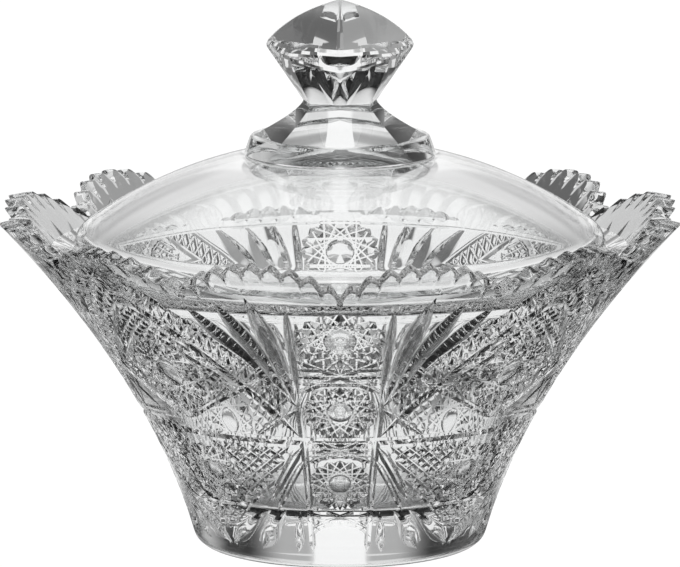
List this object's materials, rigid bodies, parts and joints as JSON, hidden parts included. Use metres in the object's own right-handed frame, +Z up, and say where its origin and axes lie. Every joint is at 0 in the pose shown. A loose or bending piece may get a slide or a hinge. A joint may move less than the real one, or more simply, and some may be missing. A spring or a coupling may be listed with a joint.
{
  "type": "lidded candy dish",
  "caption": "Flared crystal bowl with a scalloped toothed rim and star and fan cuts, closed by a loose domed lid with a faceted knob.",
  "frame": {"origin": "middle of the foot, on the surface that the dish stands on", "axes": "+Z up along the axis of the bowl and lid, -Y towards the viewer of the picture, +X to the right"},
  "size_m": [0.1992, 0.1992, 0.1614],
  "materials": {
    "bowl_crystal": "polished clear crystal with cut facets",
    "lid_crystal": "fire-polished clear crystal",
    "knob_crystal": "polished clear crystal with pressed facets",
    "bond_film": "clear cured adhesive"
  },
  "bodies": {
    "bowl": {"bowl": "bowl_crystal"},
    "lid": {"lid": "lid_crystal", "knob": "knob_crystal", "knob_bond": "bond_film"}
  },
  "joints": [
    {"name": "lid_lift", "type": "slide", "parent": "bowl", "child": "lid", "axis": [0, 0, 1], "range_m": [0, 0.12]}
  ]
}
